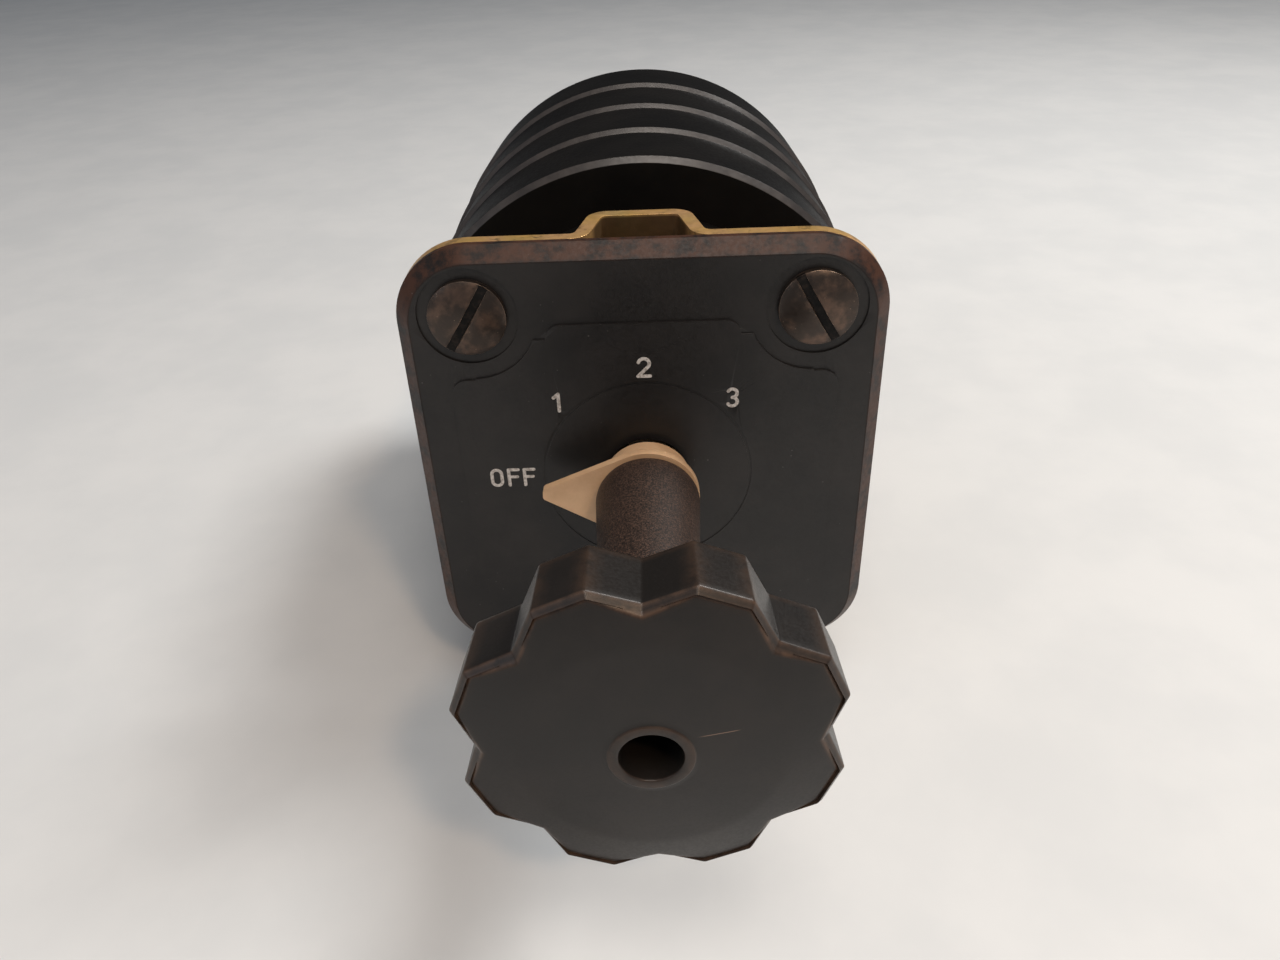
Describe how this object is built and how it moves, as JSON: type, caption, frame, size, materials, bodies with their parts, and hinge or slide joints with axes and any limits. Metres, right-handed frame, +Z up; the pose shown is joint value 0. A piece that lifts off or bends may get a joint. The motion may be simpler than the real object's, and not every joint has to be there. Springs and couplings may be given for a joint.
{
  "type": "rotary battery selector switch",
  "caption": "Panel-mounted rotary selector switch: fluted knob on a long neck, ivory pointer and figured square dial plate in front of a round stack of moulded contact decks.",
  "frame": {"origin": "on the shaft axis, on the front face of the mounting plate, where the panel is clamped", "axes": "+X right as seen from the knob, +Y back along the shaft from the knob through the panel, +Z up"},
  "size_m": [0.0742, 0.1472, 0.0801],
  "materials": {
    "phenolic_plate": "moulded black phenolic dial plate, satin, browned along its bevel",
    "moulded_knob": "moulded black phenolic knob, satin, with worn ridges",
    "moulded_stack": "moulded black phenolic decks, semi-gloss",
    "moulded_rotor": "brown phenolic moulding",
    "ivory_plastic": "ivory plastic, smooth",
    "figure_fill": "off-white paint filled into the engraving",
    "yellow_chromate": "yellow chromate on zinc-plated steel sheet",
    "blackened_steel": "blackened steel, rubbed to coppery metal on the high spots",
    "zinc_steel": "dull zinc-plated steel",
    "brass": "turned brass, slightly dulled",
    "contact_copper": "copper alloy strip"
  },
  "bodies": {
    "switch_body": {"escutcheon": "phenolic_plate", "dial_figures": "figure_fill", "panel_screws": "blackened_steel", "mounting_plate": "yellow_chromate", "clinch_nuts": "zinc_steel", "channel_screws": "zinc_steel", "front_bushing": "brass", "detent_housing": "moulded_stack", "stop_pins": "zinc_steel", "detent_spring_upper": "zinc_steel", "detent_spring_lower": "zinc_steel", "deck_housing_1": "moulded_stack", "fixed_contact_right_1": "contact_copper", "fixed_contact_left_1": "contact_copper", "deck_housing_2": "moulded_stack", "fixed_contact_right_2": "contact_copper", "fixed_contact_left_2": "contact_copper", "deck_housing_3": "moulded_stack", "fixed_contact_right_3": "contact_copper", "fixed_contact_left_3": "contact_copper", "deck_housing_4": "moulded_stack", "fixed_contact_right_4": "contact_copper", "fixed_contact_left_4": "contact_copper", "terminal_studs": "brass", "terminal_washers": "zinc_steel", "terminal_nuts": "brass", "rear_cover": "moulded_stack", "rear_bushing": "brass", "tie_bolts": "zinc_steel", "tie_washers": "zinc_steel", "tie_nuts": "zinc_steel"},
    "rotor": {"knob": "moulded_knob", "knob_insert": "brass", "handle_washer": "zinc_steel", "handle_screw": "zinc_steel", "pointer": "ivory_plastic", "shaft": "zinc_steel", "stop_arm": "zinc_steel", "detent_wheel": "zinc_steel", "thrust_washer": "zinc_steel", "retaining_ring": "zinc_steel", "rotor_1": "moulded_rotor", "rotor_2": "moulded_rotor", "rotor_3": "moulded_rotor", "rotor_4": "moulded_rotor", "contact_blade_1": "contact_copper", "contact_blade_2": "contact_copper", "contact_blade_3": "contact_copper", "contact_blade_4": "contact_copper"},
    "upper_plunger": {"detent_plunger_upper": "zinc_steel"},
    "lower_plunger": {"detent_plunger_lower": "zinc_steel"}
  },
  "joints": [
    {"name": "knob_turn", "type": "hinge", "parent": "switch_body", "child": "rotor", "pos_m": [0, 0, 0], "axis": [0, 1, 0], "range_deg": [0, 135]},
    {"name": "upper_plunger_slide", "type": "slide", "parent": "switch_body", "child": "upper_plunger", "axis": [0, 0, 1], "range_m": [-0.0015, 0], "stiffness_N_per_m": 150, "springref_m": -0.02},
    {"name": "lower_plunger_slide", "type": "slide", "parent": "switch_body", "child": "lower_plunger", "axis": [0, 0, -1], "range_m": [-0.0015, 0], "stiffness_N_per_m": 150, "springref_m": -0.02}
  ]
}
